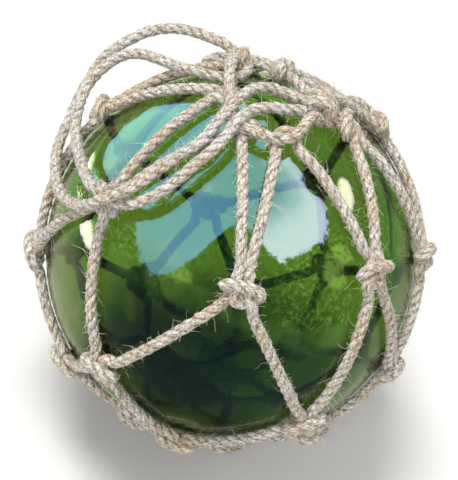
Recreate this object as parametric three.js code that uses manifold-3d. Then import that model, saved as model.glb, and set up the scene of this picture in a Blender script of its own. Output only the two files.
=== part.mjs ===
// Glass float ball in a hand-knotted net of jute twine, with two loose hanging cords.
// Millimetres, +Z up along the axis of the net. The origin is at the middle of the
// flat underside, and the ball's front faces -Y.
import * as THREE from 'three';
import { mergeVertices } from 'three/addons/utils/BufferGeometryUtils.js';
import Module from 'manifold-3d';

const wasm = await Module();
wasm.setup();

// Driving dimensions
const BALL_DIAMETER = 150;
const TWINE_DIAMETER = 4.5;
const TOUCH_GAP = 0.3; // left between pieces that touch
const KNOT_SIZE = { across: 17, along: 13.5, thick: 8 };
const BASE_RING_RADIUS = 19; // middle of the ring underneath, two turns side by side
const FLAT_SHARE = 0.8; // of the twine's radius, left under the base ring's middle line
const BIGHT_SPREAD = 6; // degrees from the middle of a bight to each leg, underneath

// Facets
const TWINE_SIDES = 5;
const CORD_SIDES = 8;
const STRAND_STEP = 13; // degrees of the ball for each facet of a strand
const BALL_SEGMENTS = 28;
const KNOT_SEGMENTS = [7, 3];
const SMALLEST_DETAIL = 0.15; // mm, under which the joined net's facets are merged
const TOP_RING_STEPS = 24;
const BASE_RING_SEGMENTS = 21;

// Derived sizes
const BALL_RADIUS = BALL_DIAMETER / 2;
const TWINE_RADIUS = TWINE_DIAMETER / 2;
const FACET_SAG = BALL_RADIUS * (1 - Math.cos(THREE.MathUtils.degToRad(STRAND_STEP / 2)));
const LAY_RADIUS = BALL_RADIUS + TOUCH_GAP + FACET_SAG + TWINE_RADIUS; // twine on the glass
const KNOT_RADIUS = BALL_RADIUS + TOUCH_GAP + KNOT_SIZE.thick / 2; // middle of a knot
const OVER_RADIUS = LAY_RADIUS + TWINE_DIAMETER; // twine that passes over another
const BASE_RING_DROP = Math.sqrt(OVER_RADIUS ** 2 - BASE_RING_RADIUS ** 2);
const BALL_CENTRE = BASE_RING_DROP + TWINE_RADIUS * FLAT_SHARE; // over the flat underside
const BASE_LAY_RADIUS = OVER_RADIUS - TWINE_DIAMETER / 3; // strands end inside the ring

// Knots of the net as [latitude, azimuth] in degrees. Azimuth 0 is the front (-Y) and
// grows towards +X. A knot hangs between knots i and i + 1 of the row above it.
const NET_ROWS = [
  [[31, -102], [36, -52], [36, 7], [37, 58], [23, 91], [34, 150], [34, -155]],
  [[-7, -74], [-7, -26], [-9, 37], [-6, 70], [-8, 114], [-8, 160], [-8, -132]],
  [[-29, -46], [-31, 2], [-33, 53], [-31, 95], [-31, 140], [-31, -166], [-30, -101]],
  [[-54, -22], [-54, 28], [-54, 74], [-54, 118], [-54, 168], [-54, -132], [-54, -74]],
];
// Top bights: bight i is shared by knots i and i + 1 of the first row. Two of them hang
// below the ring as knots of their own, on short links.
const TOP_BIGHTS = [
  { left: [74, -111], right: [75, -98] },
  { left: [77, -48], right: [77, -36] },
  { left: [79, 10], right: [80, 40] },
  { left: [68, 112], right: [67, 117], links: [[76, 118], [75, 140]], knot: true },
  { left: [42, 133], right: [43, 138], links: [[68, 172]], knot: true },
  { left: [60, -171], right: [58, -162] },
  { left: [59, -155], right: [61, -147] },
];
// The gathering ring at the top, once round, and its lift off the glass in mm. It
// rises over the inner hanging cord.
const TOP_RING = [
  { place: [61, -150], lift: 3.6 }, { place: [69, -133], lift: 6.6 },
  { place: [75, -108], lift: 2 }, { place: [77, -48], lift: 0.5 },
  { place: [79, -22], lift: 0.5 }, { place: [79, 10], lift: 0.5 },
  { place: [80, 40], lift: 0.5 }, { place: [81, 100], lift: 0.5 },
  { place: [76, 133], lift: 1 }, { place: [68, 178], lift: 0.5 },
  { place: [59, -167], lift: 0.5 },
];
// Lashings on the ring where the hanging cords leave it
const TOP_KNOTS = [[61, -150], [76, 128], [66, -175]];

// Routes of the two loose hanging cords, by hand, in mm from the middle of the ball.
// Each leaves one lashing, arches out to the left, comes back over the front of the net
// and ends in the other lashing.
const OUTER_CORD = [
  [-19.5, 34.5, 70], [-27, 38, 72], [-35, 40, 71.5], [-43, 41.5, 70.5], [-50.5, 42, 68],
  [-58, 41.5, 64], [-64, 39, 59.5], [-69.5, 35.5, 54.5], [-73.5, 30.5, 49],
  [-75.5, 25, 43.5], [-77, 18.5, 38.5], [-77.5, 11.5, 34.5], [-78, 4, 31.5],
  [-77.5, -4, 29.5], [-76, -12, 29.5], [-73.5, -20, 30.5], [-70.5, -27, 32.5],
  [-66.5, -33.5, 35], [-62, -39.5, 39.5], [-58.5, -44.5, 45], [-54.5, -48.5, 51],
  [-50, -50, 57.5], [-43, -46.5, 62], [-38, -41.5, 65], [-33, -35.5, 68.5],
  [-28, -30, 72], [-23, -25, 76], [-20, -17.5, 79.5], [-17.5, -10.5, 81.5], [-15, -3, 82],
  [-11.5, 4.5, 82], [-5, 9, 82], [3, 8.5, 82], [10.5, 10.5, 79.5],
];
const INNER_CORD = [
  [-16.5, 33.5, 70], [-16, 26.5, 71], [-20.5, 20, 71.5], [-28, 17.5, 72],
  [-34.5, 20, 69.5], [-40.5, 23.5, 66], [-46.5, 27, 63.5], [-53.5, 30.5, 61],
  [-60, 32.5, 58.5], [-66, 31.5, 55], [-71, 26.5, 51], [-74, 21.5, 47],
  [-75, 14.5, 44], [-74.5, 7, 42.5], [-73, -0.5, 42], [-70.5, -8, 41.5],
  [-67.5, -15, 42], [-64.5, -22, 43.5], [-61.5, -29, 46], [-59, -35.5, 49.5],
  [-55.5, -41.5, 52.5], [-49, -45.5, 54], [-42, -48, 56], [-35.5, -46.5, 60],
  [-30.5, -43, 64], [-26, -38.5, 68.5], [-22, -33, 72.5], [-18, -27.5, 76],
  [-15, -21, 79], [-12.5, -14, 81.8], [-9.5, -6.5, 81.2], [-4, -2, 81.5],
  [3.5, 0.5, 81.5], [9.5, 4.5, 80],
];

const toRadians = THREE.MathUtils.degToRad;

function direction([latitude, azimuth]) {
  const level = Math.cos(toRadians(latitude));
  return new THREE.Vector3(
    level * Math.sin(toRadians(azimuth)),
    -level * Math.cos(toRadians(azimuth)),
    Math.sin(toRadians(latitude)),
  );
}

function onBall(place, radius) {
  const point = direction(place).multiplyScalar(radius);
  point.z += BALL_CENTRE;
  return point;
}

// A taut strand from one place to another: straight off each end until it meets the
// ball, then along the great circle.
class Strand extends THREE.Curve {
  constructor(start, end, startRadius, endRadius) {
    super();
    this.from = direction(start);
    this.to = direction(end);
    this.span = this.from.angleTo(this.to);
    this.ends = [startRadius, endRadius];
  }

  radiusAt(turn) {
    const heights = [turn, this.span - turn].map((angle, i) => {
      const reach = Math.min(Math.acos(LAY_RADIUS / this.ends[i]), this.span / 2);
      const free = Math.max(reach - angle, 0);
      return angle < reach ? this.ends[i] * Math.cos(reach) / Math.cos(free) : LAY_RADIUS;
    });
    return Math.max(...heights);
  }

  getPoint(t, target = new THREE.Vector3()) {
    const turn = t * this.span;
    const a = Math.sin(this.span - turn) / Math.sin(this.span);
    const b = Math.sin(turn) / Math.sin(this.span);
    target.set(0, 0, 0).addScaledVector(this.from, a).addScaledVector(this.to, b);
    target.multiplyScalar(this.radiusAt(turn));
    target.z += BALL_CENTRE;
    return target;
  }
}

function roundSection(sides, radius) {
  const shape = new THREE.Shape();
  for (let i = 0; i < sides; i += 1) {
    const turn = (i / sides) * Math.PI * 2;
    const [x, y] = [radius * Math.cos(turn), radius * Math.sin(turn)];
    if (i === 0) shape.moveTo(x, y);
    else shape.lineTo(x, y);
  }
  shape.closePath();
  return shape;
}

function tube(curve, steps, sides) {
  return new THREE.ExtrudeGeometry(roundSection(sides, TWINE_RADIUS), {
    steps,
    extrudePath: curve,
    bevelEnabled: false,
  });
}

function toSolid(geometry) {
  const bare = geometry.clone();
  bare.deleteAttribute('normal');
  bare.deleteAttribute('uv');
  const merged = mergeVertices(bare, 1e-4);
  const mesh = new wasm.Mesh({
    numProp: 3,
    vertProperties: new Float32Array(merged.attributes.position.array),
    triVerts: new Uint32Array(merged.index.array),
  });
  return new wasm.Manifold(mesh);
}

function toGeometry(solid) {
  const mesh = solid.getMesh();
  const geometry = new THREE.BufferGeometry();
  geometry.setAttribute('position', new THREE.BufferAttribute(mesh.vertProperties, 3));
  geometry.setIndex(new THREE.BufferAttribute(mesh.triVerts, 1));
  geometry.computeVertexNormals();
  return geometry;
}

function join(solids) {
  return solids.reduce((whole, solid) => whole.add(solid));
}

function glassBall() {
  const half = BALL_SEGMENTS / 2;
  const profile = [];
  for (let i = 0; i <= half; i += 1) {
    const turn = (i / half) * Math.PI - Math.PI / 2;
    const x = i % half === 0 ? 0 : BALL_RADIUS * Math.cos(turn);
    profile.push(new THREE.Vector2(x, BALL_RADIUS * Math.sin(turn)));
  }
  const ball = new THREE.LatheGeometry(profile, BALL_SEGMENTS);
  ball.rotateX(Math.PI / 2);
  ball.translate(0, 0, BALL_CENTRE);
  return ball;
}

function knot(place, gap = 0) {
  const lump = new THREE.SphereGeometry(1, ...KNOT_SEGMENTS);
  lump.rotateX(Math.PI / 2);
  lump.scale(
    KNOT_SIZE.across / 2 + gap,
    KNOT_SIZE.along / 2 + gap,
    KNOT_SIZE.thick / 2 + gap,
  );
  const out = direction(place);
  const east = new THREE.Vector3(0, 0, 1).cross(out).normalize();
  const north = out.clone().cross(east);
  const frame = new THREE.Matrix4().makeBasis(east, north, out);
  frame.setPosition(onBall(place, KNOT_RADIUS));
  lump.applyMatrix4(frame);
  return toSolid(lump);
}

function strand(start, end, startRadius, endRadius) {
  const curve = new Strand(start, end, startRadius, endRadius);
  const steps = Math.ceil(curve.span / toRadians(STRAND_STEP));
  return toSolid(tube(curve, steps, TWINE_SIDES));
}

function meshStrands() {
  const strands = [];
  for (let row = 1; row < NET_ROWS.length; row += 1) {
    NET_ROWS[row].forEach((place, i) => {
      const above = NET_ROWS[row - 1];
      for (const upper of [above[i], above[(i + 1) % above.length]]) {
        strands.push(strand(place, upper, KNOT_RADIUS, KNOT_RADIUS));
      }
    });
  }
  return strands;
}

function topStrands() {
  const first = NET_ROWS[0];
  return TOP_BIGHTS.flatMap(({ left, right, links = [], knot: tied }, i) => {
    const bightRadius = tied ? KNOT_RADIUS : LAY_RADIUS;
    return [
      strand(first[i], left, KNOT_RADIUS, bightRadius),
      strand(first[(i + 1) % first.length], right, KNOT_RADIUS, bightRadius),
      ...links.map((end) => strand(left, end, KNOT_RADIUS, LAY_RADIUS)),
    ];
  });
}

function topRing() {
  const points = TOP_RING.map(({ place, lift }) => onBall(place, LAY_RADIUS + lift));
  const curve = new THREE.CatmullRomCurve3(points, true);
  return toSolid(tube(curve, TOP_RING_STEPS, TWINE_SIDES));
}

function baseRing() {
  // The outline of both turns, pressed flat where the float stands on them
  const inner = BASE_RING_RADIUS - TWINE_DIAMETER;
  const outer = BASE_RING_RADIUS + TWINE_DIAMETER;
  const bevel = TWINE_RADIUS * 0.7;
  const section = [
    [inner, bevel], [inner + bevel, 0], [outer - bevel, 0], [outer, bevel * 1.6],
    [outer - bevel, TWINE_DIAMETER + 0.6], [inner + bevel, TWINE_DIAMETER - 0.4],
    [inner, bevel],
  ];
  const points = section.map(([x, z]) => new THREE.Vector2(x, z));
  const ring = new THREE.LatheGeometry(points, BASE_RING_SEGMENTS);
  ring.rotateX(Math.PI / 2);
  return toSolid(ring);
}

function baseStrands() {
  const last = NET_ROWS.at(-1);
  const latitude = -THREE.MathUtils.radToDeg(Math.acos(BASE_RING_RADIUS / OVER_RADIUS));
  return last.flatMap((place, i) => {
    const next = last[(i + 1) % last.length];
    const between = place[1] + THREE.MathUtils.euclideanModulo(next[1] - place[1], 360) / 2;
    return [
      strand(place, [latitude, between - BIGHT_SPREAD], KNOT_RADIUS, BASE_LAY_RADIUS),
      strand(next, [latitude, between + BIGHT_SPREAD], KNOT_RADIUS, BASE_LAY_RADIUS),
    ];
  });
}

function netSolid() {
  const knots = [...NET_ROWS.flat(), ...TOP_KNOTS].map((place) => knot(place));
  const links = TOP_BIGHTS.filter(({ knot: tied }) => tied).map(({ left }) => knot(left));
  return join([
    topRing(), ...knots, ...links, ...topStrands(), ...meshStrands(),
    ...baseStrands(), baseRing(),
  ]).simplify(SMALLEST_DETAIL);
}

function hangingCord(route) {
  const points = route.map(([x, y, z]) => new THREE.Vector3(x, y, z + BALL_CENTRE));
  const curve = new THREE.CatmullRomCurve3(points, false, 'catmullrom');
  const steps = Math.ceil(curve.getLength() / (TWINE_DIAMETER * 2));
  const cord = toSolid(tube(curve, steps, CORD_SIDES));
  const lashings = TOP_KNOTS.map((place) => knot(place, 2 * TOUCH_GAP));
  return lashings.reduce((left, lashing) => left.subtract(lashing), cord);
}

function material(color, roughness) {
  return new THREE.MeshStandardMaterial({ color, roughness, metalness: 0 });
}

function piece(name, geometry, finish) {
  const mesh = new THREE.Mesh(geometry, finish);
  mesh.name = name;
  return mesh;
}

const greenGlass = material(0x2f6b35, 0.05);
const jute = material(0xc8b9a5, 0.9);

const net = netSolid();
const float = new THREE.Group();
float.add(
  piece('glass_ball', glassBall(), greenGlass),
  piece('rope_net', toGeometry(net), jute),
  piece('hanging_cord_outer', toGeometry(hangingCord(OUTER_CORD)), jute),
  piece('hanging_cord_inner', toGeometry(hangingCord(INNER_CORD)), jute),
);

export default float;
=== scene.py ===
"""Glass float ball in a knotted jute net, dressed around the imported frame."""
import math
import random

import bpy
import numpy as np
from mathutils import Matrix, Vector


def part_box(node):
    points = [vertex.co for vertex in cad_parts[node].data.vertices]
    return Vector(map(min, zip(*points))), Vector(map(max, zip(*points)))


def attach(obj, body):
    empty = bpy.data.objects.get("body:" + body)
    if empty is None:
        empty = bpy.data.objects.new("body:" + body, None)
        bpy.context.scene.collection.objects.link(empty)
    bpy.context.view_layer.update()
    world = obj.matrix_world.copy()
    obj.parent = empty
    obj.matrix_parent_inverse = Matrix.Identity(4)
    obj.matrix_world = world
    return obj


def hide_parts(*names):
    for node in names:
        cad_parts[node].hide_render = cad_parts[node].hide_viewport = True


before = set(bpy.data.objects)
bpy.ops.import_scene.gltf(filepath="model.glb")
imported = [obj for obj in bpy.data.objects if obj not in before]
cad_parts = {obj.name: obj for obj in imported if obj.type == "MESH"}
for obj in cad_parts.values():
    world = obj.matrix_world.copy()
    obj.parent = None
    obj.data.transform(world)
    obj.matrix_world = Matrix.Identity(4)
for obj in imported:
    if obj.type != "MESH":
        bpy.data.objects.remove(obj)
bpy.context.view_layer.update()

MM = 0.001
rng = np.random.default_rng(7)

# The ball, from the frame. Everything else is laid out in mm from its middle.
BALL_LOW, BALL_HIGH = (np.array(corner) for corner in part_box("glass_ball"))
CENTRE = (BALL_LOW + BALL_HIGH) / 2
BALL_RADIUS = (BALL_HIGH - BALL_LOW)[0] / 2 / MM
WALL = 2.5  # thickness of the blown glass
FLOOR = -CENTRE[2] / MM

# Twine: three plies laid up right-handed
TWINE_DIAMETER = 4.5
TWINE_RADIUS = TWINE_DIAMETER / 2
TWINE_PITCH = 13.5  # length of one whole turn of the plies
PLIES = 3
TWINE_SIDES = 21
TWINE_STEP = 0.95
TOUCH = 0.2  # left between the twine and what it lies on
LAY = TWINE_RADIUS + TOUCH  # height of a strand's middle over the glass
TAPERED_END = {"share": 0.3, "length": 5}  # of the links and lashings

# Loose fibres: how many, as multiples of the plain strands' number, and their sizes in mm
HAIRS_EACH_MM = 3.2
BASE_FUZZ, CROWN_FUZZ, LASHING_FUZZ = 0.4, 1.5, 4
LONG_SHARE = 0.12  # of the loose fibres, those that stray far
LONG_FIBRE, SHORT_FIBRE = (3.5, 9), (0.9, 2.6)
FIBRE_THICKNESS = (0.05, 0.095)
FIBRE_CURL = (0.1, 0.6)
OVER_GLASS, OVER_FLOOR = 0.15, 0.1  # least height of a fibre

# Knots of the net as [latitude, azimuth] in degrees, as in the CAD model. A knot hangs
# between knots i and i + 1 of the row above it. Ten of them are a program's results, rounded.
NET_ROWS = [
    [[31, -102], [36, -52], [36, 7], [37, 58], [23, 91], [34, 150], [34, -155]],
    [[-7, -74], [-7, -26], [-9, 37], [-6, 70], [-8, 114], [-8, 160], [-8, -132]],
    [[-29, -46], [-31, 2], [-33, 53], [-31, 95], [-31, 140], [-31, -166], [-30, -101]],
    [[-54, -22], [-54, 28], [-54, 74], [-54, 118], [-54, 168], [-54, -132], [-54, -74]],
]
COLUMNS = len(NET_ROWS[0])

# Routes of the two loose hanging cords, in mm from the middle of the ball. A program
# smoothed and spaced them, and 18 of the 68 points were then moved one by one.
OUTER_CORD = [
    [-19.5, 34.5, 70], [-27, 38, 72], [-35, 40, 71.5], [-43, 41.5, 70.5], [-50.5, 42, 68],
    [-58, 41.5, 64], [-64, 39, 59.5], [-69.5, 35.5, 54.5], [-73.5, 30.5, 49],
    [-75.5, 25, 43.5], [-77, 18.5, 38.5], [-77.5, 11.5, 34.5], [-78, 4, 31.5],
    [-77.5, -4, 29.5], [-76, -12, 29.5], [-73.5, -20, 30.5], [-70.5, -27, 32.5],
    [-66.5, -33.5, 35], [-62, -39.5, 39.5], [-58.5, -44.5, 45], [-54.5, -48.5, 51],
    [-50, -50, 57.5], [-43, -46.5, 62], [-38, -41.5, 65], [-33, -35.5, 68.5],
    [-28, -30, 72], [-23, -25, 76], [-20, -17.5, 79.5], [-17.5, -10.5, 81.5], [-15, -3, 82],
    [-11.5, 4.5, 82], [-5, 9, 82], [3, 8.5, 82], [10.5, 10.5, 79.5],
]
INNER_CORD = [
    [-16.5, 33.5, 70], [-16, 26.5, 71], [-20.5, 20, 71.5], [-28, 17.5, 72],
    [-34.5, 20, 69.5], [-40.5, 23.5, 66], [-46.5, 27, 63.5], [-53.5, 30.5, 61],
    [-60, 32.5, 58.5], [-66, 31.5, 55], [-71, 26.5, 51], [-74, 21.5, 47],
    [-75, 14.5, 44], [-74.5, 7, 42.5], [-73, -0.5, 42], [-70.5, -8, 41.5],
    [-67.5, -15, 42], [-64.5, -22, 43.5], [-61.5, -29, 46], [-59, -35.5, 49.5],
    [-55.5, -41.5, 52.5], [-49, -45.5, 54], [-42, -48, 56], [-35.5, -46.5, 60],
    [-30.5, -43, 64], [-26, -38.5, 68.5], [-22, -33, 72.5], [-18, -27.5, 76],
    [-15, -21, 79], [-12.5, -14, 81.8], [-9.5, -6.5, 81.2], [-4, -2, 81.5],
    [3.5, 0.5, 81.5], [9.5, 4.5, 80],
]

# The gathering ring at the top: places, and heights of its middle over the glass
TOP_RING = [
    ([61, -150], 6.0), ([69, -133], 9.6), ([75, -108], 6.5), ([77, -48], 6.2),
    ([79, -22], 6.0), ([79, 10], 6.2), ([80, 40], 6.2), ([81, 100], 4.5),
    ([76, 133], 4.5), ([68, 178], 4.0), ([59, -167], 4.0),
]
LINK_HEIGHT = 4.6  # of a link's ends over the glass

# Lashings round the ring: where, the place they run towards, turns, and in mm their
# radius, half their length and the height of their middle over the glass
LASHINGS = [
    ([61, -150], [66, -175], 2, 4.4, 3.0, 5.4),
    ([76, 128], [79, 100], 3, 4.8, 6.0, 5.8),
    ([66, -175], [61, -150], 2, 4.2, 2.6, 4.2),
]

# Jute from pale to dark
NET_JUTE = (0.62, 0.62, 0.60), (0.50, 0.47, 0.43), (0.31, 0.27, 0.23)
CORD_JUTE = (0.60, 0.61, 0.61), (0.49, 0.475, 0.45), (0.34, 0.30, 0.265)


# ---------------------------------------------------------------- vectors and paths

def unit(vector):
    return vector / np.linalg.norm(vector)


def direction(place):
    latitude, azimuth = (math.radians(angle) for angle in place)
    level = math.cos(latitude)
    return np.array([level * math.sin(azimuth), -level * math.cos(azimuth), math.sin(latitude)])


def between(start, end, share):
    """The direction that lies a share of the way along the great circle."""
    span = math.acos(np.clip(start @ end, -1, 1))
    if span < 1e-6:
        return start
    return (math.sin((1 - share) * span) * start + math.sin(share * span) * end) / math.sin(span)


def catmull_rom(points, closed, pieces=8):
    points = np.asarray(points, float)
    count = len(points)
    if closed:
        ring = np.vstack([points[-1], points, points[:2]])
        spans = count
    else:
        ring = np.vstack([2 * points[0] - points[1], points, 2 * points[-1] - points[-2]])
        spans = count - 1
    shares = np.linspace(0, 1, pieces, endpoint=False)[:, None]
    made = []
    for i in range(spans):
        a, b, c, d = ring[i:i + 4]
        made.append(0.5 * (
            2 * b + (c - a) * shares + (2 * a - 5 * b + 4 * c - d) * shares ** 2
            + (3 * b - a - 3 * c + d) * shares ** 3
        ))
    if not closed:
        made.append(points[-1:])
    return np.vstack(made)


def evenly(points, step, closed):
    """The path again, with points an even step apart."""
    if closed:
        points = np.vstack([points, points[:1]])
    gaps = np.linalg.norm(np.diff(points[:, :3], axis=0), axis=1)
    along = np.concatenate([[0], np.cumsum(gaps)])
    count = max(int(round(along[-1] / step)), 2)
    wanted = np.linspace(0, along[-1], count + 1)
    path = np.column_stack([np.interp(wanted, along, points[:, k]) for k in range(points.shape[1])])
    return path[:-1] if closed else path


def softened(path, closed, rounds):
    for _ in range(rounds):
        if closed:
            path = (np.roll(path, 1, 0) + 2 * path + np.roll(path, -1, 0)) / 4
        else:
            path = path.copy()
            path[1:-1] = (path[:-2] + 2 * path[1:-1] + path[2:]) / 4
    return path


def clear_of_glass(path):
    """Lifts the points that would sink a strand into the glass."""
    path = path.copy()
    distance = np.linalg.norm(path[:, :3], axis=1)
    lift = np.maximum(BALL_RADIUS + LAY, distance) / distance
    path[:, :3] *= lift[:, None]
    return path


def thin_ended(path):
    """The path of an open twine whose two ends taper off."""
    index = np.arange(len(path))
    from_end = np.minimum(index, len(path) - 1 - index) * TWINE_STEP
    return np.column_stack([path, np.clip(TAPERED_END["share"] + from_end / TAPERED_END["length"], 0, 1)])


def smooth_path(points, closed=False, rounds=2):
    path = evenly(catmull_rom(points, closed), TWINE_STEP, closed)
    return clear_of_glass(softened(path, closed, rounds))


# ---------------------------------------------------------------- mesh building

class Soup:
    """Vertices, faces and two UV maps of one mesh, gathered before it is made."""

    def __init__(self):
        self.verts, self.faces, self.fibre, self.ply, self.count = [], [], [], [], 0

    def add(self, verts, faces, fibre, ply):
        self.verts.append(verts)
        self.faces.append(faces + self.count)
        self.fibre.append(fibre)
        self.ply.append(ply)
        self.count += len(verts)

    def make(self, name, material):
        verts = np.vstack(self.verts) * MM + CENTRE
        faces = np.vstack(self.faces)
        mesh = bpy.data.meshes.new(name)
        mesh.from_pydata(verts.tolist(), [], faces.tolist())
        for label, rows in (("fibre", self.fibre), ("ply", self.ply)):
            layer = mesh.uv_layers.new(name=label)
            layer.data.foreach_set("uv", np.vstack(rows).astype(np.float32).ravel())
        mesh.polygons.foreach_set("use_smooth", np.ones(len(faces), bool))
        mesh.materials.append(material)
        mesh.update()
        piece = bpy.data.objects.new(name, mesh)
        bpy.context.scene.collection.objects.link(piece)
        return piece


def cross_frames(path, closed):
    """Tangents and two cross directions carried along the path without twist."""
    points = path[:, :3]
    if closed:
        tangents = np.roll(points, -1, 0) - np.roll(points, 1, 0)
    else:
        tangents = np.gradient(points, axis=0)
    tangents /= np.linalg.norm(tangents, axis=1)[:, None]
    first = np.cross(tangents[0], unit(points[0]))
    first = unit(first) if np.linalg.norm(first) > 1e-6 else np.array([1.0, 0, 0])
    sides = [first]
    for i in range(1, len(points)):
        side = sides[-1] - (sides[-1] @ tangents[i]) * tangents[i]
        sides.append(unit(side))
    sides = np.array(sides)
    return tangents, sides, np.cross(tangents, sides)


def ply_profile(sides):
    """Radius of the twine's section round one turn, as a share of its full radius."""
    offset, radius = 0.25, 0.75
    turn = np.arange(sides) / sides * 2 * math.pi
    lobe = (turn * PLIES / (2 * math.pi) + 0.5) % 1 - 0.5
    angle = lobe * 2 * math.pi / PLIES
    return offset * np.cos(angle) + np.sqrt(radius ** 2 - (offset * np.sin(angle)) ** 2)


def add_twine(soup, path, closed=False):
    """Lays three twisted plies along a path. A fourth column of the path scales its radius."""
    sides, count, radius = TWINE_SIDES, len(path), TWINE_RADIUS
    tangents, side, other = cross_frames(path, closed)
    gaps = np.linalg.norm(np.diff(path[:, :3], axis=0), axis=1)
    along = np.concatenate([[0], np.cumsum(gaps)])
    length = along[-1] + (np.linalg.norm(path[0, :3] - path[-1, :3]) if closed else 0)
    turns = length / TWINE_PITCH
    drift = 0.0
    if closed:
        # The frame comes back turned a little, and the plies have to meet themselves
        last = side[-1] - (side[-1] @ tangents[0]) * tangents[0]
        drift = math.atan2(unit(last) @ other[0], unit(last) @ side[0])
        turns = round(turns)
    twist = along / length * (2 * math.pi * turns - drift)
    scale = path[:, 3] if path.shape[1] > 3 else np.ones(count)

    base = np.arange(sides) / sides * 2 * math.pi
    profile = ply_profile(sides)
    # Each ply swells and thins a little on its own along the twine
    swell = np.ones((count, sides))
    owner = ((base * PLIES / (2 * math.pi) + 0.5) % PLIES).astype(int)
    for ply in range(PLIES):
        wave = sum(
            rng.uniform(0.01, 0.025) * np.sin(along / wavelength * 2 * math.pi + rng.uniform(0, 6.3))
            for wavelength in (5.3, 9.7, 23.0)
        )
        swell[:, owner == ply] += wave[:, None]
    swell += rng.normal(0, 0.018, swell.shape)
    rough = rng.normal(0, 1, swell.shape)
    for _ in range(2):
        rough = (np.roll(rough, 1, 0) + rough + np.roll(rough, -1, 0)) / 3
    swell += 0.07 * rough

    angle = base[None, :] + twist[:, None]
    reach = radius * scale[:, None] * profile[None, :] * swell
    verts = (
        path[:, None, :3]
        + (reach * np.cos(angle))[:, :, None] * side[:, None, :]
        + (reach * np.sin(angle))[:, :, None] * other[:, None, :]
    ).reshape(-1, 3)

    rows = count if closed else count - 1
    i, k = np.meshgrid(np.arange(rows), np.arange(sides), indexing="ij")
    nxt_i, nxt_k = (i + 1) % count, (k + 1) % sides
    faces = np.stack([i * sides + k, i * sides + nxt_k, nxt_i * sides + nxt_k, nxt_i * sides + k], -1)
    faces = faces.reshape(-1, 4)

    # UVs: fibre is (way round, way along) in mm, ply is (place in the ply, way along)
    ends = np.append(along, length) if closed else along
    turn_ends = np.append(twist, 2 * math.pi * turns - drift) if closed else twist
    start_s, end_s = ends[:-1][i], ends[1:][i]
    start_t, end_t = turn_ends[:-1][i], turn_ends[1:][i]
    step = 2 * math.pi / sides
    around = [start_t + k * step, start_t + (k + 1) * step, end_t + (k + 1) * step, end_t + k * step]
    seed = rng.uniform(0, 500)
    fibre = np.stack([
        np.stack([turn * radius, seed + s], -1)
        for turn, s in zip(around, (start_s, start_s, end_s, end_s))
    ], 2).reshape(-1, 2)
    lobes = [k, k + 1, k + 1, k]
    ply_uv = np.stack([
        np.stack([lobe * PLIES / sides, seed + s], -1)
        for lobe, s in zip(lobes, (start_s, start_s, end_s, end_s))
    ], 2).reshape(-1, 2)
    soup.add(verts, faces, fibre, ply_uv)
    if not closed:
        for end, flip in ((0, True), (count - 1, False)):
            add_cap(soup, path, tangents, end, flip, radius, verts, sides)
    return length


def add_cap(soup, path, tangents, end, flip, radius, verts, sides):
    """Covers a twine's end with a low dome, but for one narrow wedge."""
    rim = verts[end * sides:(end + 1) * sides]
    sign = -1 if flip else 1
    tip = path[end, :3] + sign * tangents[end] * radius * 0.4
    around = np.arange(sides)
    nxt = (around + 1) % sides
    corners = (nxt, around) if flip else (around, nxt)
    # A ring of quads reaches halfway in, and quads of two wedges each meet at the tip
    middle = (rim + tip) / 2
    points = np.vstack([rim, middle, tip])
    quads = np.stack([corners[0], corners[1], corners[1] + sides, corners[0] + sides], -1)
    fan = []
    for k in range(0, sides - 1, 2):
        a, b, c = k, (k + 1) % sides, (k + 2) % sides
        fan.append([c + sides, b + sides, a + sides, 2 * sides] if flip
                   else [a + sides, b + sides, c + sides, 2 * sides])
    faces = np.vstack([quads, np.array(fan)])
    blank = np.zeros((len(faces) * 4, 2))
    soup.add(points, faces, blank, blank)


# ---------------------------------------------------------------- net and knots

class Knot:
    """A place on the ball with its own upright axes, on which knots are laid out in mm."""

    def __init__(self, place, uppers, lowers, mirror=False, tilt=0.0, size=1.0):
        self.out = direction(place)
        pull = sum(self.tangent(direction(p)) for p in uppers)
        if lowers:
            pull = pull - 0.5 * sum(self.tangent(direction(p)) for p in lowers)
        up = unit(pull - (pull @ self.out) * self.out)
        right = np.cross(up, self.out)
        turn = math.radians(tilt)
        self.up = math.cos(turn) * up - math.sin(turn) * right
        self.right = np.cross(self.up, self.out)
        self.mirror, self.size = mirror, size

    def tangent(self, towards):
        flat = towards - (towards @ self.out) * self.out
        return unit(flat)

    def at(self, x, y, height):
        spot = self.out * BALL_RADIUS + self.right * x + self.up * y
        return unit(spot) * (BALL_RADIUS + height)

    def heading(self, place):
        way = self.tangent(direction(place))
        return np.array([way @ self.right, way @ self.up])

    def leave(self, place, reach, aside=0.0):
        """The point where a strand towards that place leaves the knot."""
        x, y = self.heading(place)
        return self.at(x * reach - y * aside, y * reach + x * aside, LAY)


# The two twines of a mesh knot, in mm: a bight that hangs from above, and the twine that
# comes from the lower left, wraps both its legs and goes off to the lower right. They are
# drawn closer together than they are thick, so that they run through each other inside.
BIGHT = [
    (-2.1, 5.0, 3.2), (-2.1, 1.5, 4.0), (-2.4, -1.4, 4.2), (-1.5, -3.6, 4.0), (1.5, -3.8, 4.0),
    (2.4, -1.4, 4.2), (2.1, 1.5, 4.0), (2.1, 5.0, 3.2),
]
WRAP = [
    (-4.6, -2.8, 2.5), (-0.6, -1.8, 2.4), (3.6, -1.8, 2.4), (6.2, -1.6, 3.6), (5.9, 0.5, 5.6),
    (2.4, 2.0, 6.7), (-2.8, 2.7, 6.7), (-5.8, 2.3, 5.2), (-5.6, 1.2, 3.0), (-2.8, 0.7, 2.4),
    (0.2, -0.6, 2.8), (2.2, -2.2, 4.6), (4.4, -4.4, 4.8),
]
KNOT_REACH = 8.6


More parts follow.
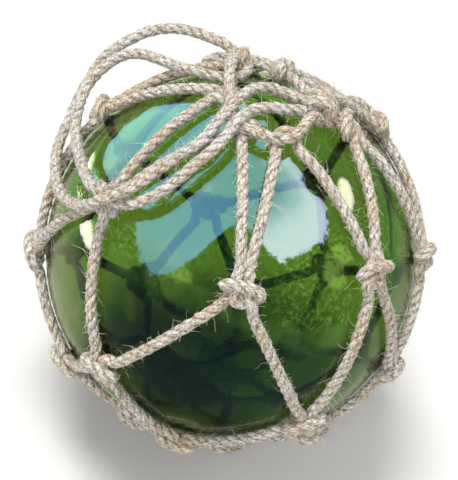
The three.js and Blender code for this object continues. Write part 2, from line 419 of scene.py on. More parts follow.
def bight_points(knot, left, right):
    points = [knot.leave(left, KNOT_REACH * knot.size, 0.8)]
    points += [knot.at(x * knot.size, y * knot.size, z) for x, y, z in BIGHT]
    points.append(knot.leave(right, KNOT_REACH * knot.size, -0.8))
    return points


def wrap_points(knot, left, right):
    inner = WRAP
    if knot.mirror:
        inner = [(-x, y, z) for x, y, z in reversed(WRAP)]
    points = [knot.leave(left, KNOT_REACH * knot.size)]
    points += [knot.at(x * knot.size, y * knot.size, z) for x, y, z in inner]
    points.append(knot.leave(right, KNOT_REACH * knot.size))
    return points


def strand_points(start, end):
    """Points of a taut strand between two knots, both ends left out."""
    a, b = unit(start), unit(end)
    span = math.acos(np.clip(a @ b, -1, 1)) * BALL_RADIUS
    count = max(int(span / 8), 1)
    return [between(a, b, (i + 1) / (count + 1)) * (BALL_RADIUS + LAY) for i in range(count)]


def joined(*stretches, closed=True):
    """One list of control points, with taut strands laid between the stretches."""
    points = []
    for i, stretch in enumerate(stretches):
        points += stretch
        if closed or i < len(stretches) - 1:
            follow = stretches[(i + 1) % len(stretches)]
            points += strand_points(stretch[-1], follow[0])
    return points


# Mirror, tilt in degrees and size of the knots that are seen best; the others are drawn
KNOT_LOOKS = {
    (0, 1): (False, 8, 1.0), (0, 2): (False, 4, 1.05), (0, 3): (True, -16, 1.05),
    (1, 0): (False, 0, 1.0), (1, 1): (False, 18, 1.05), (1, 2): (True, 6, 1.0),
}
# Where the legs of the first row reach the ring; a tied bight is a knot of its own. Three
# of these places are up to 4 mm from the CAD model's.
TOP_BIGHTS = [
    {"left": [74, -111], "right": [75, -98]},
    {"left": [78, -44], "right": [79.5, -30]},
    {"left": [79, 10], "right": [80.5, 50]},
    {"left": [68, 112], "right": [67, 117], "links": [[76, 118], [75, 140]]},
    {"left": [42, 133], "right": [43, 138], "links": [[68, 172], [68, 166]]},
    {"left": [60, -171], "right": [58, -162]},
    {"left": [59, -155], "right": [61, -147]},
]
BASE_RING_RADIUS = 19
BASE_LATITUDE = -math.degrees(math.acos(BASE_RING_RADIUS / (BALL_RADIUS + LAY)))
BIGHT_SPREAD = 6


def base_place(i, side):
    """Where strand i of the last row meets the ring underneath, left or right of the middle."""
    last = NET_ROWS[-1]
    start, end = last[i % COLUMNS][1], last[(i + 1) % COLUMNS][1]
    middle = start + ((end - start) % 360) / 2
    return [BASE_LATITUDE, middle + side * BIGHT_SPREAD]


def neighbours(row, i):
    if row == 0:
        uppers = [TOP_BIGHTS[(i - 1) % COLUMNS]["right"], TOP_BIGHTS[i]["left"]]
    else:
        uppers = [NET_ROWS[row - 1][i], NET_ROWS[row - 1][(i + 1) % COLUMNS]]
    if row == len(NET_ROWS) - 1:
        lowers = [base_place(i - 1, 1), base_place(i, -1)]
    else:
        lowers = [NET_ROWS[row + 1][(i - 1) % COLUMNS], NET_ROWS[row + 1][i]]
    return uppers, lowers


def net_knots():
    draws = random.Random(3)
    knots = {}
    for row, places in enumerate(NET_ROWS):
        for i, place in enumerate(places):
            uppers, lowers = neighbours(row, i)
            drawn = (draws.random() < 0.4, draws.uniform(-10, 14), draws.uniform(0.95, 1.05))
            mirror, tilt, size = KNOT_LOOKS.get((row, i), drawn)
            knots[row, i] = Knot(place, uppers, lowers, mirror, tilt, size)
    return knots


def row_twine(knots, row):
    """The twine that ties the knots of a row and hangs as bights in the knots below."""
    stretches = []
    for i in range(COLUMNS):
        _, lowers = neighbours(row, i)
        stretches.append(wrap_points(knots[row, i], *lowers))
        uppers, _ = neighbours(row + 1, i)
        stretches.append(bight_points(knots[row + 1, i], *uppers))
    return joined(*stretches)


def ring_bight(left, right):
    """A bight that goes under the top ring and turns on its inner side."""
    out = unit(direction(left) + direction(right))
    inward = unit(np.array([0, 0, 1.0]) - out[2] * out)
    across = unit(direction(right) - direction(left))
    spots = [(-1.0, -4.0, 0.0), (-1.0, -0.5, 0.0), (-0.85, 2.2, 0.6), (-0.3, 3.2, 1.6),
             (0.3, 3.2, 1.6), (0.85, 2.2, 0.6), (1.0, -0.5, 0.0), (1.0, -4.0, 0.0)]
    half = max(np.linalg.norm(direction(right) - direction(left)) * BALL_RADIUS / 2, 2.4)
    points = []
    for x, y, lift in spots:
        spot = out * BALL_RADIUS + across * x * half + inward * y
        points.append(unit(spot) * (BALL_RADIUS + LAY + lift))
    return points


def crown_twine(knots):
    """The twine that hangs the first row of knots from the ring."""
    stretches = []
    tied = []
    for i in range(COLUMNS):
        uppers, _ = neighbours(0, i)
        stretches.append(bight_points(knots[0, i], *uppers))
        top = TOP_BIGHTS[i]
        if "links" in top:
            lowers = [NET_ROWS[0][i], NET_ROWS[0][(i + 1) % COLUMNS]]
            middle = [(top["left"][0] + top["right"][0]) / 2, (top["left"][1] + top["right"][1]) / 2]
            knot = Knot(middle, top["links"], lowers, mirror=i == 3, tilt=0, size=0.95)
            stretches.append(wrap_points(knot, *lowers))
            tied.append((knot, top["links"]))
        else:
            stretches.append(ring_bight(top["left"], top["right"]))
    return joined(*stretches), tied


def link_points(knot, links):
    """A short bight that hangs a tied knot from the ring."""
    ends = [unit(direction(place)) * (BALL_RADIUS + LINK_HEIGHT) for place in links]
    return [ends[0], *bight_points(knot, *links), ends[1]]


def top_ring():
    return [direction(place) * (BALL_RADIUS + height) for place, height in TOP_RING]


def lashing(place, towards, turns, radius, half_length, height):
    """Turns of twine side by side round a stretch of the ring."""
    out = direction(place)
    along = direction(towards) - out
    along = unit(along - (along @ out) * out)
    across = np.cross(out, along)
    middle = out * (BALL_RADIUS + height)
    points = []
    count = turns * 10
    for k in range(count + 1):
        share = k / count
        turn = share * turns * 2 * math.pi
        x = (share - 0.5) * 2 * half_length
        # Both ends are tucked in under the turns
        reach = radius * min(1, 0.15 + 0.28 * min(k, count - k))
        points.append(
            middle + along * x + across * reach * math.cos(turn) + out * reach * 0.8 * math.sin(turn)
        )
    return points


def base_ring_points():
    """Two turns side by side, flat on what the float stands on."""
    points = []
    floor = FLOOR + TWINE_RADIUS + TOUCH
    count = 48
    for k in range(count + 1):
        share = k / count
        turn = share * 4 * math.pi
        ease = 3 * share ** 2 - 2 * share ** 3
        radius = BASE_RING_RADIUS - TWINE_RADIUS + ease * TWINE_DIAMETER
        points.append([radius * math.sin(turn), -radius * math.cos(turn), floor])
    return points


def base_bight(i):
    """A bight of the last row, hooked round the inner side of the ring underneath."""
    left, right = base_place(i, -1), base_place(i, 1)
    azimuth = (left[1] + ((right[1] - left[1]) % 360) / 2)
    spots = [(-1, 27.0, 0), (-1, 19.0, 0), (-0.9, 13.6, -0.3), (-0.35, 11.6, -1.2),
             (0.35, 11.6, -1.2), (0.9, 13.6, -0.3), (1, 19.0, 0), (1, 27.0, 0)]
    points = []
    for side, radius, drop in spots:
        angle = math.radians(azimuth) + side * 2.6 / max(radius, 12)
        height = -math.sqrt((BALL_RADIUS + LAY) ** 2 - radius ** 2) + drop
        points.append(np.array([radius * math.sin(angle), -radius * math.cos(angle), height]))
    return points


def last_row_twine(knots):
    stretches = []
    row = len(NET_ROWS) - 1
    for i in range(COLUMNS):
        _, lowers = neighbours(row, i)
        stretches.append(wrap_points(knots[row, i], *lowers))
        stretches.append(base_bight(i))
    return joined(*stretches)


# ---------------------------------------------------------------- materials

class Nodes:
    """A short way to add and link shader nodes."""

    def __init__(self, owner):
        owner.use_nodes = True
        self.tree = owner.node_tree
        self.tree.nodes.clear()

    def add(self, kind, inputs=None, **settings):
        node = self.tree.nodes.new(kind)
        for name, value in settings.items():
            setattr(node, name, value)
        for name, value in (inputs or {}).items():
            socket = node.inputs[name]
            if isinstance(value, bpy.types.NodeSocket):
                self.tree.links.new(value, socket)
            else:
                socket.default_value = value
        return node

    def ramp(self, value, stops):
        node = self.add("ShaderNodeValToRGB", {"Fac": value})
        elements = node.color_ramp.elements
        while len(elements) < len(stops):
            elements.new(0.5)
        for element, (position, color) in zip(elements, stops):
            element.position = position
            element.color = (*color, 1)
        return node.outputs["Color"]

    def math(self, operation, a, b=0.0, c=0.0):
        return self.add("ShaderNodeMath", {0: a, 1: b, 2: c}, operation=operation).outputs[0]

    def noise(self, vector, scale, detail, roughness):
        node = self.add("ShaderNodeTexNoise", {
            "Vector": vector, "Scale": scale, "Detail": detail, "Roughness": roughness})
        return node.outputs["Fac"]

    def step(self, value, start, end):
        """0 at start and 1 at end, softly, and flat past both."""
        node = self.add("ShaderNodeMapRange", {
            "Value": value, "From Min": start, "From Max": end}, interpolation_type="SMOOTHSTEP")
        return node.outputs[0]

    def spot(self, azimuth, elevation, at_azimuth, at_elevation, wide, high):
        """1 inside an ellipse in the sky, in degrees, with a soft edge."""
        x = self.math("DIVIDE", self.math("SUBTRACT", azimuth, at_azimuth), wide)
        y = self.math("DIVIDE", self.math("SUBTRACT", elevation, at_elevation), high)
        away = self.math("ADD", self.math("MULTIPLY", x, x), self.math("MULTIPLY", y, y))
        return self.step(away, 1.3, 0.7)

    def curve(self, azimuth, points):
        """Elevation by azimuth, both in degrees, through the points."""
        share = self.math("MULTIPLY_ADD", azimuth, 1 / 360, 0.5)
        node = self.add("ShaderNodeFloatCurve", {"Value": share})
        handles = node.mapping.curves[0].points
        while len(handles) < len(points):
            handles.new(0.5, 0.5)
        for handle, (place, height) in zip(handles, points):
            handle.location = (place / 360 + 0.5, height / 180 + 0.5)
        node.mapping.update()
        return self.math("MULTIPLY_ADD", node.outputs[0], 180.0, -90.0)

    def blend(self, share, a, b, mode="MIX"):
        node = self.add("ShaderNodeMix", data_type="RGBA", blend_type=mode)
        for socket, value in ((node.inputs[0], share), (node.inputs[6], a), (node.inputs[7], b)):
            if isinstance(value, bpy.types.NodeSocket):
                self.tree.links.new(value, socket)
            elif isinstance(value, tuple):
                socket.default_value = (*value, 1)
            else:
                socket.default_value = value
        return node.outputs[2]


def jute(name, pale, tan, dark):
    material = bpy.data.materials.new(name)
    nodes = Nodes(material)
    fibre_uv = nodes.add("ShaderNodeUVMap", uv_map="fibre").outputs["UV"]
    ply_uv = nodes.add("ShaderNodeUVMap", uv_map="ply").outputs["UV"]
    place = nodes.add("ShaderNodeTexCoord").outputs["Object"]

    def stretched(across, along, slant, detail=3.0, distortion=0.5):
        mapping = nodes.add("ShaderNodeMapping", {
            "Vector": fibre_uv, "Scale": (across, along, 1), "Rotation": (0, 0, slant)})
        noise = nodes.add("ShaderNodeTexNoise", {
            "Vector": mapping.outputs[0], "Scale": 1.0, "Detail": detail, "Roughness": 0.65,
            "Distortion": distortion})
        return noise.outputs["Fac"]

    # Fibres: fine streaks, flecks about a millimetre long, and slow changes of tone
    streaks = stretched(1.9, 0.6, 0.35, detail=2.0)
    flecks = stretched(0.95, 0.5, -0.5, detail=1.5, distortion=1.0)
    specks = stretched(1.3, 0.75, 0.6, detail=1.0, distortion=0.8)
    patches = nodes.noise(place, 60.0, 3.0, 0.6)

    # Groove between two plies: 0 in the groove and 1 on the crown. This is the mask of the painted shade
    # in the grooves.
    lobe = nodes.add("ShaderNodeSeparateXYZ", {"Vector": ply_uv}).outputs["X"]
    crown = nodes.math("PINGPONG", nodes.math("ADD", lobe, 0.5), 0.5)
    crown = nodes.math("MULTIPLY", crown, 2.0)
    crown = nodes.math("ADD", crown, nodes.math("MULTIPLY_ADD", flecks, 0.7, -0.35))
    crown = nodes.step(crown, 0.0, 0.5)

    tone = nodes.ramp(streaks, [(0.36, dark), (0.47, tan), (0.58, pale)])
    light = nodes.ramp(flecks, [(0.36, (0.56, 0.49, 0.42)), (0.48, (0.90, 0.87, 0.83)),
                                (0.60, (1.24, 1.24, 1.24))])
    tone = nodes.blend(0.9, tone, light, "MULTIPLY")
    warm = nodes.ramp(patches, [(0.35, (0.96, 0.84, 0.67)), (0.5, (1.0, 0.98, 0.95)),
                                (0.66, (1.06, 1.07, 1.09))])
    tone = nodes.blend(0.9, tone, warm, "MULTIPLY")
    # Painted shade: the colour is darkened where the plies meet, standing in for the shade in the grooves
    painted_groove_shade = nodes.blend(crown, (0.50, 0.42, 0.34), (1.0, 1.0, 1.0))
    tone = nodes.blend(0.85, tone, painted_groove_shade, "MULTIPLY")
    speck = nodes.ramp(specks, [(0.30, (0.30, 0.23, 0.18)), (0.42, (1, 1, 1))])
    tone = nodes.blend(0.65, tone, speck, "MULTIPLY")

    height = nodes.math("ADD", nodes.math("MULTIPLY", streaks, 0.7), nodes.math("MULTIPLY", flecks, 1.0))
    height = nodes.math("ADD", height, nodes.math("MULTIPLY", specks, 0.4))
    bump = nodes.add("ShaderNodeBump", {"Height": height, "Strength": 1.0, "Distance": 0.6 * MM})
    shader = nodes.add("ShaderNodeBsdfPrincipled", {
        "Base Color": tone, "Normal": bump.outputs["Normal"], "Roughness": 0.9,
        "Specular IOR Level": 0.2, "Sheen Weight": 0.3, "Sheen Roughness": 0.5})
    output = nodes.add("ShaderNodeOutputMaterial")
    nodes.tree.links.new(shader.outputs[0], output.inputs["Surface"])
    return material


def loose_fibre(name):
    material = bpy.data.materials.new(name)
    nodes = Nodes(material)
    place = nodes.add("ShaderNodeTexCoord").outputs["Object"]
    noise = nodes.add("ShaderNodeTexNoise", {"Vector": place, "Scale": 160.0, "Detail": 1.0})
    tone = nodes.ramp(noise.outputs["Fac"], [(0.35, (0.5, 0.44, 0.33)), (0.65, (0.8, 0.76, 0.66))])
    shader = nodes.add("ShaderNodeBsdfPrincipled", {
        "Base Color": tone, "Roughness": 0.7, "Specular IOR Level": 0.3})
    output = nodes.add("ShaderNodeOutputMaterial")
    nodes.tree.links.new(shader.outputs[0], output.inputs["Surface"])
    return material


def green_glass():
    material = bpy.data.materials.new("green_glass")
    nodes = Nodes(material)
    place = nodes.add("ShaderNodeTexCoord").outputs["Object"]
    ripple = nodes.add("ShaderNodeTexNoise", {"Vector": place, "Scale": 22.0, "Detail": 1.0})
    bump = nodes.add("ShaderNodeBump", {
        "Height": ripple.outputs["Fac"], "Strength": 0.10, "Distance": 1.0 * MM})
    shader = nodes.add("ShaderNodeBsdfPrincipled", {
        "Normal": bump.outputs["Normal"],
        "Base Color": (0.305, 0.44, 0.125, 1), "Roughness": 0.0, "IOR": 1.52,
        "Transmission Weight": 1.0})
    output = nodes.add("ShaderNodeOutputMaterial")
    nodes.tree.links.new(shader.outputs[0], output.inputs["Surface"])
    return material


# ---------------------------------------------------------------- pieces

def glass_shell(material):
    """The blown ball: an outer and an inner surface, the thickness of the wall apart."""
    segments, rings = 160, 80
    verts, faces = [], []
    for radius, inside in ((BALL_RADIUS, False), (BALL_RADIUS - WALL, True)):
        start = len(verts)
        verts.append((0, 0, radius))
        for r in range(1, rings):
            tilt = math.pi * r / rings
            for s in range(segments):
                turn = 2 * math.pi * s / segments
                verts.append((radius * math.sin(tilt) * math.cos(turn),
                              radius * math.sin(tilt) * math.sin(turn), radius * math.cos(tilt)))
        verts.append((0, 0, -radius))
        last = len(verts) - 1
        surface = []
        for s in range(segments):
            nxt = (s + 1) % segments
            surface.append((start, start + 1 + s, start + 1 + nxt))
            for r in range(rings - 2):
                row = start + 1 + r * segments
                surface.append((row + s, row + segments + s, row + segments + nxt, row + nxt))
            row = start + 1 + (rings - 2) * segments
            surface.append((row + s, last, row + nxt))
        faces += [tuple(reversed(face)) for face in surface] if inside else surface
    mesh = bpy.data.meshes.new("glass_shell")
    mesh.from_pydata((np.array(verts) * MM + CENTRE).tolist(), [], faces)
    mesh.polygons.foreach_set("use_smooth", np.ones(len(faces), bool))
    mesh.materials.append(material)
    shell = bpy.data.objects.new("glass_shell", mesh)
    bpy.context.scene.collection.objects.link(shell)
    return shell


def add_hair(soup, root, way, outward, length, thickness, curl, steps):
    """One loose fibre: a thin three-sided tube that leaves the twine and curls."""
    points = [root]
    heading = unit(way + outward * rng.uniform(0.3, 1.7))
    bend = rng.normal(0, 1, 3)
    for _ in range(steps):
        heading = unit(heading + bend * curl + rng.normal(0, 0.18, 3))
        points.append(points[-1] + heading * length / steps)
    points = np.array(points)
    distance = np.linalg.norm(points, axis=1)
    points *= (np.maximum(distance, BALL_RADIUS + OVER_GLASS) / distance)[:, None]
    points[:, 2] = np.maximum(points[:, 2], FLOOR + OVER_FLOOR)
    tangents = np.gradient(points, axis=0)
    tangents /= np.linalg.norm(tangents, axis=1)[:, None]
    side = np.cross(tangents, outward + 0.01)
    side /= np.maximum(np.linalg.norm(side, axis=1), 1e-6)[:, None]
    other = np.cross(tangents, side)
    taper = np.linspace(1, 0.45, steps + 1) * thickness
    rings = [
        points + taper[:, None] * (side * math.cos(turn) + other * math.sin(turn))
        for turn in (0, 2 * math.pi / 3, 4 * math.pi / 3)
    ]
    verts = np.stack(rings, 1).reshape(-1, 3)
    i, k = np.meshgrid(np.arange(steps), np.arange(3), indexing="ij")
    nxt = (k + 1) % 3
    faces = np.stack([i * 3 + k, i * 3 + nxt, (i + 1) * 3 + nxt, (i + 1) * 3 + k], -1).reshape(-1, 4)
    blank = np.zeros((len(faces) * 4, 2))
    soup.add(verts, faces, blank, blank)


def add_hairs(soup, path, closed, per_mm):
    """Loose fibres all along a twine: many short ones, and a few that stray far."""
    tangents, side, other = cross_frames(path, closed)
    count = int(len(path) * TWINE_STEP * per_mm)
    for _ in range(count):
        i = rng.integers(len(path))
        turn = rng.uniform(0, 2 * math.pi)
        outward = side[i] * math.cos(turn) + other[i] * math.sin(turn)
        root = path[i, :3] + outward * TWINE_RADIUS * 0.88
        around = np.cross(tangents[i], outward)
        way = unit(tangents[i] * rng.choice([-1, 1]) + around * rng.normal(0, 0.5))
        long = rng.random() < LONG_SHARE
        length = rng.uniform(*(LONG_FIBRE if long else SHORT_FIBRE))
        add_hair(soup, root, way, outward, length, rng.uniform(*FIBRE_THICKNESS),
                 rng.uniform(*FIBRE_CURL), steps=7 if long else 2)


def build_ropes():
    twine = jute("jute_net", *NET_JUTE)
    cord_finish = jute("jute_cord", *CORD_JUTE)
    fibres = loose_fibre("jute_fibre")
    knots = net_knots()

    rows, crown, base = Soup(), Soup(), Soup()
    row_fuzz, crown_fuzz, cord_fuzz = Soup(), Soup(), Soup()
    for row in range(len(NET_ROWS) - 1):
        path = smooth_path(row_twine(knots, row), closed=True)
        add_twine(rows, path, closed=True)
        add_hairs(row_fuzz, path, True, HAIRS_EACH_MM)
    path = smooth_path(last_row_twine(knots), closed=True)
    add_twine(base, path, closed=True)
    add_hairs(row_fuzz, path, True, BASE_FUZZ * HAIRS_EACH_MM)
    path = smooth_path(base_ring_points(), rounds=1)
    add_twine(base, path)

    points, tied = crown_twine(knots)
    path = smooth_path(points, closed=True)
    add_twine(crown, path, closed=True)
    add_hairs(crown_fuzz, path, True, HAIRS_EACH_MM)
    for knot, links in tied:
        path = thin_ended(smooth_path(link_points(knot, links)))
        add_twine(crown, path)
        add_hairs(crown_fuzz, path, False, CROWN_FUZZ * HAIRS_EACH_MM)
    path = smooth_path(top_ring(), closed=True)
    add_twine(crown, path, closed=True)
    add_hairs(crown_fuzz, path, True, CROWN_FUZZ * HAIRS_EACH_MM)
    for lashed in LASHINGS:
        path = thin_ended(smooth_path(lashing(*lashed)))
        add_twine(crown, path)
        add_hairs(crown_fuzz, path, False, LASHING_FUZZ * HAIRS_EACH_MM)

    pieces = [
        (rows.make("net_meshes", twine), "rope_net"),
        (crown.make("net_crown", twine), "rope_net"),
        (base.make("net_base", twine), "rope_net"),
        (row_fuzz.make("net_mesh_fibres", fibres), "rope_net"),
        (crown_fuzz.make("net_crown_fibres", fibres), "rope_net"),
    ]
    for piece, node in pieces:
        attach(piece, "root")
        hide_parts(node)

    for route, name, node in (
        (OUTER_CORD, "outer_cord", "hanging_cord_outer"),
        (INNER_CORD, "inner_cord", "hanging_cord_inner"),
    ):
        path = evenly(catmull_rom(route, False), TWINE_STEP, False)
        soup, fuzz = Soup(), Soup()
        length = add_twine(soup, path)
        add_hairs(fuzz, path, False, HAIRS_EACH_MM)
        cord = soup.make(name, cord_finish)
        hair = fuzz.make(name + "_fibres", fibres)
        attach(cord, "root")
        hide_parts(node)
        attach(hair, "root")


def build_ball():
    shell = glass_shell(green_glass())
    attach(shell, "root")
    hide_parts("glass_ball")


# ---------------------------------------------------------------- camera, light and floor

CAMERA_DISTANCE = 0.72
CAMERA_ELEVATION = math.radians(45)
CAMERA_ROLL = math.radians(17.8)
LENS = 132.9
SENSOR = 36
AIM_LEFT, AIM_UP = 0.85, 5.8  # mm from the middle of the ball

# Strengths: light from all round, more of it from straight above, what the camera sees
# behind the floor, and the mirrored garden
LIGHT_LEVEL = 0.20
LIGHT_ABOVE = 0.45
BACKDROP = 0.95
GARDEN = 1.0
DEEP_LOSS = 0.75  # share of the garden lost on deep paths through the glass
GLASS_SHADE = 0.85  # share of the world's light kept from what lies behind the glass

# The mirrored garden: heights by azimuth, and patches as azimuth, elevation, half width
# and half height, all in degrees. They are fitted to one set of reflections.
TREE_LINE = [
    (-180, 52), (-168, 34), (-154, 4), (-136, -2), (-118, -7), (-104, -4), (-90, 14),
    (-76, 20), (-64, 15), (-46, 9), (-28, 26), (-18, 48),
    (-8, 60), (22, 58), (34, 47), (60, 42), (90, 42), (106, 50), (118, 60), (150, 52),
    (180, 52),
]
LAWN_END = [
    (-180, -10), (-120, -26), (-88, -22), (-60, -6), (-30, 4), (0, 8), (34, -6), (80, -20),
    (120, -16), (180, -10),
]
SUNLIT_LEAVES = [(82, 23, 12, 11), (-33, 18, 15, 9)]
GLINTS = [(122, 34, 10, 5), (-95, -13, 14, 4.5), (-121, -16, 9, 3)]
HAZE_COLOR, CLOUD_COLOR = (8.6, 9.6, 14.0), (3.8, 6.4, 8.0)
SUNLIT_COLOR, UNDERFOOT_COLOR = (2.6, 4.0, 0.9), (0.05, 0.06, 0.07)
GLINT_COLOR = (13.0, 11.5, 11.0)


def camera_axes():
    """Right, up and back of the camera, with its roll."""
    back = np.array([0, -math.cos(CAMERA_ELEVATION), math.sin(CAMERA_ELEVATION)])
    level = np.array([1.0, 0, 0])
    rise = np.cross(back, level)
    right = math.cos(CAMERA_ROLL) * level + math.sin(CAMERA_ROLL) * rise
    up = -math.sin(CAMERA_ROLL) * level + math.cos(CAMERA_ROLL) * rise
    return right, up, back


def build_camera():
    right, up, back = camera_axes()
    camera = bpy.data.cameras.new("camera")
    camera.lens = LENS
    camera.sensor_width = SENSOR
    rig = bpy.data.objects.new("camera", camera)
    bpy.context.scene.collection.objects.link(rig)
    eye = CENTRE + back * CAMERA_DISTANCE
    aim = CENTRE - right * AIM_LEFT * MM + up * AIM_UP * MM
    forward = unit(aim - eye)
    side = unit(np.cross(forward, up))
    top = np.cross(side, forward)
    matrix = np.eye(4)
    matrix[:3, 0], matrix[:3, 1], matrix[:3, 2], matrix[:3, 3] = side, top, -forward, eye
    rig.matrix_world = Matrix(matrix.tolist())
    bpy.context.scene.camera = rig


def build_floor():
    """A plain pale floor, which mirrored paths pass straight through."""
    material = bpy.data.materials.new("pale_floor")
    nodes = Nodes(material)
    shader = nodes.add("ShaderNodeBsdfPrincipled", {
        "Base Color": (0.62, 0.62, 0.62, 1), "Roughness": 0.9, "Specular IOR Level": 0.1})
    gone = nodes.add("ShaderNodeBsdfTransparent")
    path = nodes.add("ShaderNodeLightPath").outputs
    mirrored = nodes.math("MINIMUM", path["Glossy Depth"], 1.0)
    mirrored = nodes.math("SUBTRACT", mirrored, path["Diffuse Depth"])
    mixed = nodes.add("ShaderNodeMixShader", {
        0: nodes.math("MAXIMUM", mirrored, 0.0), 1: shader.outputs[0], 2: gone.outputs[0]})
    output = nodes.add("ShaderNodeOutputMaterial")
    nodes.tree.links.new(mixed.outputs[0], output.inputs["Surface"])
    size = 6.0
    mesh = bpy.data.meshes.new("floor")
    mesh.from_pydata([(-size, -size, 0), (size, -size, 0), (size, size, 0), (-size, size, 0)],
                     [], [(0, 1, 2, 3)])
    mesh.materials.append(material)
    floor = bpy.data.objects.new("floor", mesh)
    bpy.context.scene.collection.objects.link(floor)
    floor.visible_glossy = False


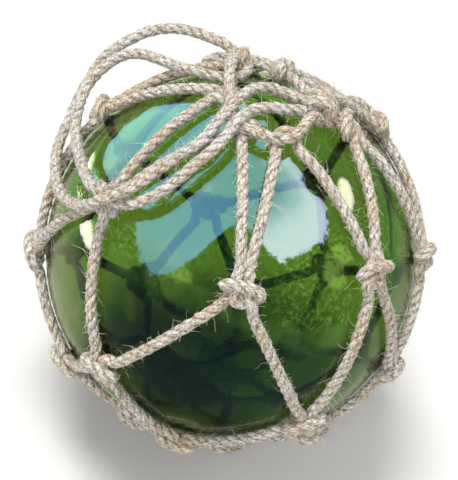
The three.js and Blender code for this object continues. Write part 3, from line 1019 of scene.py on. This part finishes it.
def build_world():
    """Soft pale light from above for everything but clean reflections. Those see a made-up
    garden instead: sky, a line of trees, a lawn, dark ground and bright patches."""
    world = bpy.data.worlds.new("garden")
    bpy.context.scene.world = world
    nodes = Nodes(world)
    way = nodes.add("ShaderNodeTexCoord").outputs["Generated"]
    parts = nodes.add("ShaderNodeSeparateXYZ", {"Vector": way})
    east, north, high = (parts.outputs[axis] for axis in "XYZ")
    to_degrees = 180 / math.pi
    azimuth = nodes.math("ARCTAN2", east, nodes.math("MULTIPLY", north, -1.0))
    azimuth = nodes.math("MULTIPLY", azimuth, to_degrees)
    elevation = nodes.math("MULTIPLY", nodes.math("ARCSINE", high), to_degrees)

    waves = nodes.noise(way, 3.0, 4.0, 0.6)
    leaves = nodes.noise(way, 21.0, 7.0, 0.8)
    clouds = nodes.noise(way, 1.7, 3.0, 0.5)
    ripple = nodes.noise(way, 5.0, 3.0, 0.6)
    swing = nodes.math("MULTIPLY", nodes.math("SUBTRACT", waves, 0.5), 18.0)
    ragged = nodes.math("MULTIPLY", nodes.math("SUBTRACT", leaves, 0.5), 16.0)

    sky = nodes.ramp(nodes.math("DIVIDE", elevation, 90.0), [
        (0.05, (1.9, 4.0, 4.7)), (0.4, (1.8, 4.4, 7.6)), (1.0, (1.3, 3.5, 6.0))])
    haze = nodes.step(nodes.math("ADD", elevation, swing), 80.0, 54.0)
    haze = nodes.math("MULTIPLY", haze, nodes.step(azimuth, 8.0, 32.0))
    sky = nodes.blend(haze, sky, HAZE_COLOR)
    sky = nodes.blend(nodes.step(clouds, 0.52, 0.8), sky, CLOUD_COLOR)

    leaf = nodes.ramp(leaves, [(0.40, (0.03, 0.08, 0.05)), (0.51, (0.35, 0.75, 0.22)),
                               (0.62, (1.7, 2.7, 0.7))])
    dark_trees = nodes.ramp(leaves, [(0.42, (0.03, 0.09, 0.07)), (0.60, (0.36, 0.85, 0.34))])
    shade = nodes.math("MULTIPLY", nodes.step(azimuth, -28.0, -16.0), nodes.step(azimuth, 44.0, 30.0))
    shade = nodes.math("MAXIMUM", shade, nodes.step(azimuth, 98.0, 112.0))
    trees = nodes.blend(shade, leaf, dark_trees)
    bright = nodes.math("MAXIMUM", *(nodes.spot(azimuth, elevation, *p) for p in SUNLIT_LEAVES))
    bright = nodes.math("MULTIPLY", bright, nodes.step(leaves, 0.36, 0.52))
    trees = nodes.blend(nodes.math("MULTIPLY", bright, 0.9), trees, SUNLIT_COLOR)
    lawn = nodes.ramp(ripple, [(0.35, (0.25, 0.6, 0.2)), (0.65, (0.7, 1.3, 0.5))])
    dusk = nodes.ramp(ripple, [(0.3, (0.10, 0.17, 0.24)), (0.7, (0.16, 0.26, 0.30))])
    olive = nodes.ramp(ripple, [(0.3, (0.65, 0.70, 0.55)), (0.7, (1.0, 1.0, 0.78))])

    line = nodes.curve(azimuth, TREE_LINE)
    lawn_end = nodes.curve(azimuth, LAWN_END)
    ground = nodes.blend(nodes.step(azimuth, -55.0, -95.0), dusk, olive)
    paving = nodes.math("MULTIPLY", nodes.step(azimuth, 80.0, 112.0), 0.55)
    ground = nodes.blend(paving, ground, olive)
    ground = nodes.blend(nodes.step(elevation, -45.0, -80.0), ground, UNDERFOOT_COLOR)
    above_lawn = nodes.math("SUBTRACT", elevation, lawn_end)
    scenery = nodes.blend(nodes.step(above_lawn, -5.0, 4.0), ground, lawn)
    scenery = nodes.blend(nodes.step(nodes.math("ADD", above_lawn, ragged), 10.0, 14.0), scenery,
                          trees)
    above = nodes.math("SUBTRACT", elevation, line)
    above = nodes.math("ADD", above, nodes.math("ADD", swing, ragged))
    scenery = nodes.blend(nodes.step(above, -1.5, 1.5), scenery, sky)
    for place in GLINTS:
        glint = nodes.spot(azimuth, nodes.math("ADD", elevation, nodes.math("MULTIPLY", ragged, 0.5)),
                           *place)
        scenery = nodes.blend(glint, scenery, GLINT_COLOR)

    # Only a clean mirror reflection sees the garden, and less of the world's light gets
    # through the glass to other things
    path = nodes.add("ShaderNodeLightPath").outputs
    mirror = nodes.math("MULTIPLY", path["Is Singular Ray"],
                        nodes.math("MINIMUM", path["Glossy Depth"], 1.0))
    bounced = nodes.math("MINIMUM", path["Diffuse Depth"], 1.0)
    mirror = nodes.math("MULTIPLY", mirror, nodes.math("SUBTRACT", 1.0, bounced))
    filtered = nodes.math("MULTIPLY", bounced, path["Is Transmission Ray"])
    dimmed = nodes.math("SUBTRACT", 1.0, nodes.math("MULTIPLY", filtered, GLASS_SHADE))
    overhead = nodes.math("MULTIPLY_ADD", nodes.math("POWER", nodes.math("MAXIMUM", high, 0.0), 1.6),
                          LIGHT_ABOVE, LIGHT_LEVEL)
    deep = nodes.step(path["Transmission Depth"], 2.0, 4.0)
    strength = nodes.math("MULTIPLY_ADD", deep, -DEEP_LOSS * GARDEN, GARDEN)
    garden = nodes.add("ShaderNodeBackground", {"Color": scenery, "Strength": strength})
    strength = nodes.math("MULTIPLY", overhead, dimmed)
    strength = nodes.math("MAXIMUM", strength, nodes.math("MULTIPLY", path["Is Camera Ray"], BACKDROP))
    white = nodes.add("ShaderNodeBackground", {"Color": (1.0, 0.99, 0.97, 1), "Strength": strength})
    mixed = nodes.add("ShaderNodeMixShader", {0: mirror, 1: white.outputs[0], 2: garden.outputs[0]})
    output = nodes.add("ShaderNodeOutputWorld")
    nodes.tree.links.new(mixed.outputs[0], output.inputs["Surface"])


def soft_light(name, place, strength, spread, color):
    """A sun with a wide disc: even light on the floor, and shadows with soft edges."""
    data = bpy.data.lights.new(name, "SUN")
    data.energy = strength
    data.angle = math.radians(spread)
    data.color = color
    light = bpy.data.objects.new(name, data)
    bpy.context.scene.collection.objects.link(light)
    light.location = Vector(CENTRE) + Vector(place)
    light.rotation_euler = (-Vector(place)).to_track_quat("-Z", "Y").to_euler()
    light.visible_glossy = False
    light.visible_transmission = False


def build_lights():
    soft_light("key", (-0.30, 0.06, 1.0), 3.3, 26, (1.0, 0.99, 0.97))
    soft_light("fill", (-0.15, -0.9, 0.6), 1.9, 32, (1.0, 0.99, 0.98))
    soft_light("side", (0.9, 0.45, 0.5), 0.8, 40, (1.0, 0.97, 0.91))


build_camera()
build_ropes()
build_ball()
build_floor()
build_world()
build_lights()
bpy.context.scene.view_settings.view_transform = "Standard"
